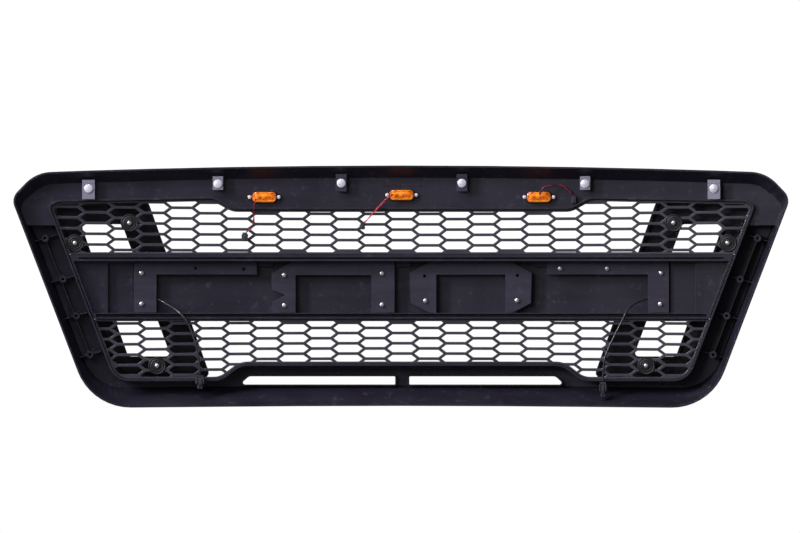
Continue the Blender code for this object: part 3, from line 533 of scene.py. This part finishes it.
def washer_disc():
    """The wide nylon washer of a trim fixing, with its turned rings; its seat is at Y = 0."""
    shape = bmesh.new()
    lathe(shape, [(0.0, 0.0), (14.0, 0.0), (14.2, 0.5), (13.8, 1.2), (12.9, 1.5), (12.3, 1.2), (10.6, 1.2),
                  (10.1, 1.6), (8.8, 1.7), (8.3, 1.3), (6.8, 1.3), (6.2, 1.9), (4.6, 2.1), (0.0, 2.1)], 48)
    return to_mesh("washer_disc", shape)


def add_fasteners():
    """Every screw, washer and bolt on the back, each turned by chance about its own axis."""
    frame_screw = pan_head("frame_screw", 3.7, 2.6)
    for number, (x, z) in enumerate(FRAME_SCREWS, 1):
        place = seat_at(x, FRAME_SCREW_SEAT, z, random.uniform(0.0, math.pi / 2.0))
        add_piece(f"frame_screw_head_{number:02d}", frame_screw, "screw_steel",
                  [f"frame_screw_{number:02d}"], place)
    disc = washer_disc()
    fixing = pan_head("trim_screw", 3.4, 2.4)
    for number, (x, z) in enumerate(both_sides(TRIM_FIXINGS), 1):
        place = seat_at(x, WASHER_SEAT, z, random.uniform(0.0, math.pi / 2.0))
        add_piece(f"trim_washer_{number}", disc, "dark_fittings",
                  [f"trim_fixing_{number}"], place)
        add_piece(f"trim_screw_{number}", fixing, "screw_steel", (),
                  place @ Matrix.Translation((0.0, WASHER_THICKNESS * MM, 0.0)))
    bolt = hex_flange_bolt()
    for number, (x, z) in enumerate(both_sides(BOLTS), 1):
        place = seat_at(x, BOLT_SEAT, z, random.uniform(0.0, math.pi / 3.0))
        add_piece(f"flange_bolt_{number}", bolt, "zinc_steel",
                  [f"mounting_bolt_{number}"], place)


# ---------------------------------------------------------------- leads and plugs

def length_of(points):
    return sum((after - before).length for before, after in zip(points, points[1:]))


def smooth_route(route, spacing):
    """Points in metres at even spacing along a smooth curve through the route."""
    knots = [swept(*place) for place in route]
    padded = [knots[0] * 2.0 - knots[1]] + knots + [knots[-1] * 2.0 - knots[-2]]
    fine = []
    for a, b, c, d in zip(padded, padded[1:], padded[2:], padded[3:]):
        for step in range(CURVE_STEPS):
            t = step / CURVE_STEPS
            fine.append(0.5 * (2.0 * b + (c - a) * t + (2.0 * a - 5.0 * b + 4.0 * c - d) * t ** 2
                               + (3.0 * b - a - 3.0 * c + d) * t ** 3))
    fine.append(knots[-1])
    length = length_of(fine)
    count = max(2, round(length / spacing))
    picked, travelled, wanted = [fine[0]], 0.0, 1
    for before, after in zip(fine, fine[1:]):
        stretch = (after - before).length
        while wanted < count and travelled + stretch >= wanted * length / count:
            share = (wanted * length / count - travelled) / stretch
            picked.append(before.lerp(after, share))
            wanted += 1
        travelled += stretch
    return picked + [fine[-1]]


def wound(points, reach, turns, phase, spread=0.0):
    """The points moved round their own line, as one wire of a twisted pair; spread opens the far end."""
    moved = []
    across = Vector((0.0, 1.0, 0.0))
    last = len(points) - 1
    for index, point in enumerate(points):
        along = (points[min(index + 1, last)] - points[max(index - 1, 0)]).normalized()
        across = (across - along * across.dot(along)).normalized()
        side = along.cross(across)
        share = index / last
        angle = phase + turns * 2.0 * math.pi * share
        distance = reach + spread * max(0.0, share - 0.6)
        moved.append(point + (across * math.cos(angle) + side * math.sin(angle)) * distance)
    return moved


def add_tube(name, points, diameter, look, replaces):
    """A tube along the points that stands in for one CAD node."""
    curve = bpy.data.curves.new(name, "CURVE")
    curve.dimensions = "3D"
    curve.bevel_depth = diameter / 2.0
    curve.bevel_resolution = 3
    curve.use_fill_caps = True
    spline = curve.splines.new("POLY")
    spline.points.add(len(points) - 1)
    for place, point in enumerate(points):
        spline.points[place].co = (*point, 1.0)
    curve.materials.append(MATERIALS[look])
    tube = bpy.data.objects.new(name, curve)
    bpy.context.scene.collection.objects.link(tube)
    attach(tube, "root")
    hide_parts(replaces)
    return tube


def marker_plug(name):
    """A small two-way plug: ribbed shell, latch and a narrow nose where the wires enter, hanging along -Z.
    """
    _, _, _, length, width = PLUGS[name]
    half, half_length, thick = width / 2.0, length / 2.0, 0.36 * width
    shape = bmesh.new()
    block(shape, -half, -thick, -half_length, half, thick, half_length - 2.6, 0.3)
    block(shape, -half * 0.72, -thick * 0.8, half_length - 2.8, half * 0.72, thick * 0.8, half_length)
    block(shape, -half * 0.30, thick - 0.2, -half_length + 1.0, half * 0.30, thick + 0.9,
          half_length - 3.4, 0.3)
    for side in (-1.0, 1.0):
        inner, outer = side * half * 0.62, side * (half + 0.5)
        for bottom, top in ((-half_length + 1.6, -half_length + 4.2), (0.4, 2.6)):
            block(shape, inner, -thick * 0.5, bottom, outer, thick * 0.6, top, 0.2)
    return to_mesh(name, shape)


def lamp_plug(name):
    """A sealed two-way plug: shouldered shell, latch with side rails and a narrow nose."""
    _, _, _, length, width = PLUGS[name]
    half, half_length, thick = width / 2.0, length / 2.0, 0.36 * width
    shape = bmesh.new()
    block(shape, -half, -thick, -half_length * 0.35, half, thick * 0.7, half_length * 0.72, 0.8)
    block(shape, -half * 0.62, -thick * 0.8, -half_length, half * 0.62, thick * 0.5, -half_length * 0.3, 0.5)
    block(shape, -half * 0.72, -thick * 0.7, half_length * 0.68, half * 0.72, thick * 0.55, half_length, 0.4)
    block(shape, -half * 0.34, thick * 0.5, -half_length * 0.5, half * 0.34, thick + 0.2,
          half_length * 0.55, 0.5)
    for side in (-1.0, 1.0):
        block(shape, side * half * 0.55, thick * 0.5, -half_length * 0.2,
              side * half * 0.85, thick, half_length * 0.66, 0.3)
        block(shape, side * half * 0.12, thick * 0.3, -half_length,
              side * half * 0.46, thick * 0.75, -half_length * 0.45, 0.3)
    return to_mesh(name, shape)


def add_leads():
    """The plugs, a pair of wires to each marker lamp, and a cable to each side lamp."""
    for name, (x, y, z, _, _) in PLUGS.items():
        mesh = lamp_plug(name) if name.startswith("lamp") else marker_plug(name)
        add_piece(f"{name}_shell", mesh, "plug_nylon", [name],
                                seat_at(x, y, z))
    for side, _, _ in MARKER_LAMPS:
        node = f"marker_wire_{side}"
        points = smooth_route(ROUTES[node], WIRE_STEP * MM)
        diameter = WIRE_DIAMETER * MM
        reach = diameter * 0.52
        turns, spread, second_look = PAIR_TURNS, 0.0, "black_cable"
        if side == "centre":
            turns, spread, second_look = LOOSE_PAIR_TURNS, LOOSE_PAIR_SPREAD * MM, "red_wire"
        first = wound(points, reach, turns, 0.6, spread)
        second = wound(points, reach, turns, 0.6 + math.pi, spread)
        red = add_tube(f"{node}_red", first, diameter, "red_wire", node)
        other = add_tube(f"{node}_second", second, diameter, second_look, node)
    for side in ("left", "right"):
        node = f"lamp_cable_{side}"
        points = smooth_route(ROUTES[node], CABLE_STEP * MM)
        cable = add_tube(f"{node}_jacket", points, CABLE_DIAMETER * MM, "black_cable", node)


# ---------------------------------------------------------------- marker lamps

def rounded_box_outline(half_length, half_height, radius, steps=6):
    """Points (x, z) in millimetres round a rounded rectangle, from its +X side by way of +Z."""
    outline = []
    for corner_x, corner_z, start in ((1, 1, 0.0), (-1, 1, 0.5), (-1, -1, 1.0), (1, -1, 1.5)):
        for step in range(steps + 1):
            angle = math.pi * (start + 0.5 * step / steps)
            outline.append((corner_x * (half_length - radius) + radius * math.cos(angle),
                            corner_z * (half_height - radius) + radius * math.sin(angle)))
    return outline


def stacked(shape, sections, middle_x=0.0):
    """Adds a closed body through sections (half length, half height, radius, y)."""
    rings = []
    for half_length, half_height, radius, y in sections:
        rings.append([shape.verts.new(((middle_x + x) * MM, y * MM, z * MM))
                      for x, z in rounded_box_outline(half_length, half_height, radius)])
    skin(shape, rings)


def lamp_lens():
    """The lens seen from behind: a rounded box with a moulded rim and three buttons."""
    half_length, half_height = LAMP_LENGTH / 2.0, LAMP_HEIGHT / 2.0
    shape = bmesh.new()
    stacked(shape, [
        (half_length - 0.8, half_height - 0.8, 5.4, -9.0), (half_length, half_height, 6.0, -8.0),
        (half_length, half_height, 6.0, 6.2), (half_length - 0.6, half_height - 0.6, 5.4, 7.6),
        (half_length - 2.0, half_height - 2.0, 4.2, 8.3), (half_length - 2.4, half_height - 2.4, 3.9, 7.7),
        (half_length - 3.4, half_height - 3.4, 3.0, 7.7), (half_length - 4.2, half_height - 4.0, 2.6, 8.5),
        (half_length - 6.0, half_height - 5.2, 2.0, 8.9)])
    for x in (-LENS_BUTTON_PITCH, 0.0, LENS_BUTTON_PITCH):
        stacked(shape, [(3.6, 3.2, 1.2, 8.2), (3.4, 3.0, 1.1, 9.3), (2.4, 2.0, 0.9, 9.7)], x)
    return to_mesh("lamp_lens", shape, 28.0)


def lamp_gasket():
    """The dark frame round the lens, with an ear for a screw at each end."""
    shape = bmesh.new()
    half_length, half_height = LAMP_LENGTH / 2.0, LAMP_HEIGHT / 2.0
    stacked(shape, [
        (half_length + 1.6, half_height + 1.4, 7.0, 0.2), (half_length + 1.6, half_height + 1.4, 7.0, 2.2),
        (half_length + 0.6, half_height + 0.5, 6.4, 3.4)])
    for side in (-1.0, 1.0):
        outline = [(half_length - 3.0, 5.4), (LAMP_SCREW_REACH + 2.4, 3.6), (LAMP_SCREW_REACH + 4.0, 0.0),
                   (LAMP_SCREW_REACH + 2.4, -3.6), (half_length - 3.0, -5.4)]
        ear = [[shape.verts.new((side * x * MM, y * MM, z * MM)) for x, z in outline] for y in (0.2, 2.6)]
        skin(shape, ear)
    return to_mesh("lamp_gasket", shape)


def add_marker_lamps():
    lens = lamp_lens()
    gasket = lamp_gasket()
    end_screw = pan_head("lamp_screw", 3.1, 2.2)
    for side, x, z in MARKER_LAMPS:
        place = seat_at(x, 0.0, z)
        add_piece(f"marker_lens_{side}", lens, "amber_lens", [f"marker_lamp_{side}"], place)
        add_piece(f"marker_gasket_{side}", gasket, "lamp_gasket", (), place)
        for end in (-1.0, 1.0):
            seat = seat_at(x + end * LAMP_SCREW_REACH, LAMP_SCREW_SEAT, z, random.uniform(0.0, 1.5))
            name = f"marker_screw_{side}_{'outer' if end * x > 0 else 'inner'}"
            if x == 0.0:
                name = f"marker_screw_{side}_{'left' if end > 0 else 'right'}"
            add_piece(name, end_screw, "zinc_steel", (), seat)


# ---------------------------------------------------------------- seals at the ends of the bar

def end_seal(side):
    """A foam strip on the front, over the joint between the end of the bar and the surround."""
    shape = bmesh.new()
    rings = []
    for step in range(SEAL_STEPS + 1):
        z = SEAL_BOTTOM_Z + (SEAL_TOP_Z - SEAL_BOTTOM_Z) * step / SEAL_STEPS
        x = SEAL_X + SIDE_SLOPE * z
        rings.append([shape.verts.new(swept(side * (x + across), y, z)) for across, y in (
            (-SEAL_HALF_WIDTH, SEAL_REAR_Y), (SEAL_HALF_WIDTH, SEAL_REAR_Y),
            (SEAL_HALF_WIDTH - SEAL_EDGE, SEAL_FRONT_Y), (SEAL_EDGE - SEAL_HALF_WIDTH, SEAL_FRONT_Y))])
    skin(shape, rings)
    return to_mesh("end_seal", shape)


def add_end_seals():
    for name, side in (("left", 1.0), ("right", -1.0)):
        add_piece(f"bar_end_seal_{name}", end_seal(side), "lamp_gasket")


# ---------------------------------------------------------------- CAD nodes, lights and stage

CAD_LOOKS = {
    "surround_shell": "black_plastic", "centre_bar": "black_plastic", "side_trim": "trim_plastic",
    "upper_mesh": "mesh_plastic", "lower_mesh": "mesh_plastic", "backing_frame": "frame_plastic",
    "badge_blank": "frame_plastic", "side_lamp": "clear_lens", "nut_clip": "galvanised_clip",
}
# These two spring nuts are black, and the other four are plated.
DARK_CLIPS = ("nut_clip_1", "nut_clip_4")


def dress_cad_nodes():
    """Gives the CAD nodes that stay on show their looks."""
    for name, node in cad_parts.items():
        look = next((look for prefix, look in CAD_LOOKS.items() if name.startswith(prefix)), None)
        if name in DARK_CLIPS:
            look = "frame_plastic"
        if look:
            node.data.materials.clear()
            node.data.materials.append(MATERIALS[look])


def add_light(name, place, target, width, height, power):
    data = bpy.data.lights.new(name, "AREA")
    data.shape = "RECTANGLE"
    data.size = width
    data.size_y = height
    data.energy = power
    data.color = LIGHT_TINT
    light = bpy.data.objects.new(name, data)
    light.location = place
    light.rotation_euler = (Vector(target) - Vector(place)).to_track_quat("-Z", "Y").to_euler()
    light.visible_camera = False
    bpy.context.scene.collection.objects.link(light)


def white_surroundings():
    """White backdrop for the camera, and a soft grey room for everything else."""
    world = bpy.data.worlds.new("studio")
    world.use_nodes = True
    bpy.context.scene.world = world
    nodes, links = world.node_tree.nodes, world.node_tree.links
    nodes.clear()
    output = nodes.new("ShaderNodeOutputWorld")
    white = nodes.new("ShaderNodeBackground")
    white.inputs["Color"].default_value = (1.0, 1.0, 1.0, 1.0)
    white.inputs["Strength"].default_value = BACKDROP_STRENGTH
    room = nodes.new("ShaderNodeBackground")
    room.inputs["Color"].default_value = (*ROOM_TINT, 1.0)
    room.inputs["Strength"].default_value = ROOM_STRENGTH
    path = nodes.new("ShaderNodeLightPath")
    mix = nodes.new("ShaderNodeMixShader")
    links.new(path.outputs["Is Camera Ray"], mix.inputs["Fac"])
    links.new(room.outputs["Background"], mix.inputs[1])
    links.new(white.outputs["Background"], mix.inputs[2])
    links.new(mix.outputs["Shader"], output.inputs["Surface"])


def add_floor():
    """A floor just under the grille, white to the camera and dark grey to everything else."""
    shape = bmesh.new()
    level = cad_box[0].z - FLOOR_DROP
    shape.faces.new([shape.verts.new((x * FLOOR_REACH, y * FLOOR_REACH, level)) for x, y in (
        (-1.0, -1.0), (1.0, -1.0), (1.0, 1.0), (-1.0, 1.0))])
    mesh = bpy.data.meshes.new("floor")
    shape.to_mesh(mesh)
    shape.free()
    floor = bpy.data.objects.new("floor", mesh)
    bpy.context.scene.collection.objects.link(floor)
    graph = Graph("floor_white")
    graph.set(Base_Color=(FLOOR_GREY, FLOOR_GREY, FLOOR_GREY, 1.0), Roughness=0.9, Specular_IOR_Level=0.0)
    glow = graph.nodes.new("ShaderNodeEmission")
    path = graph.nodes.new("ShaderNodeLightPath")
    mix = graph.nodes.new("ShaderNodeMixShader")
    graph.link(path.outputs["Is Camera Ray"], mix.inputs["Fac"])
    graph.link(graph.shader.outputs["BSDF"], mix.inputs[1])
    graph.link(glow.outputs["Emission"], mix.inputs[2])
    graph.link(mix.outputs["Shader"], graph.nodes["Material Output"].inputs["Surface"])
    mesh.materials.append(graph.material)


def light_studio():
    white_surroundings()
    add_floor()
    middle = (cad_box[0] + cad_box[1]) / 2.0
    for name, place, width, height, power in LIGHTS:
        add_light(name, place, middle, width, height, power)
    bpy.context.scene.view_settings.view_transform = "Standard"
    bpy.context.scene.view_settings.look = "None"


add_camera()
add_leads()
dress_cad_nodes()
add_fasteners()
add_marker_lamps()
add_end_seals()
light_studio()
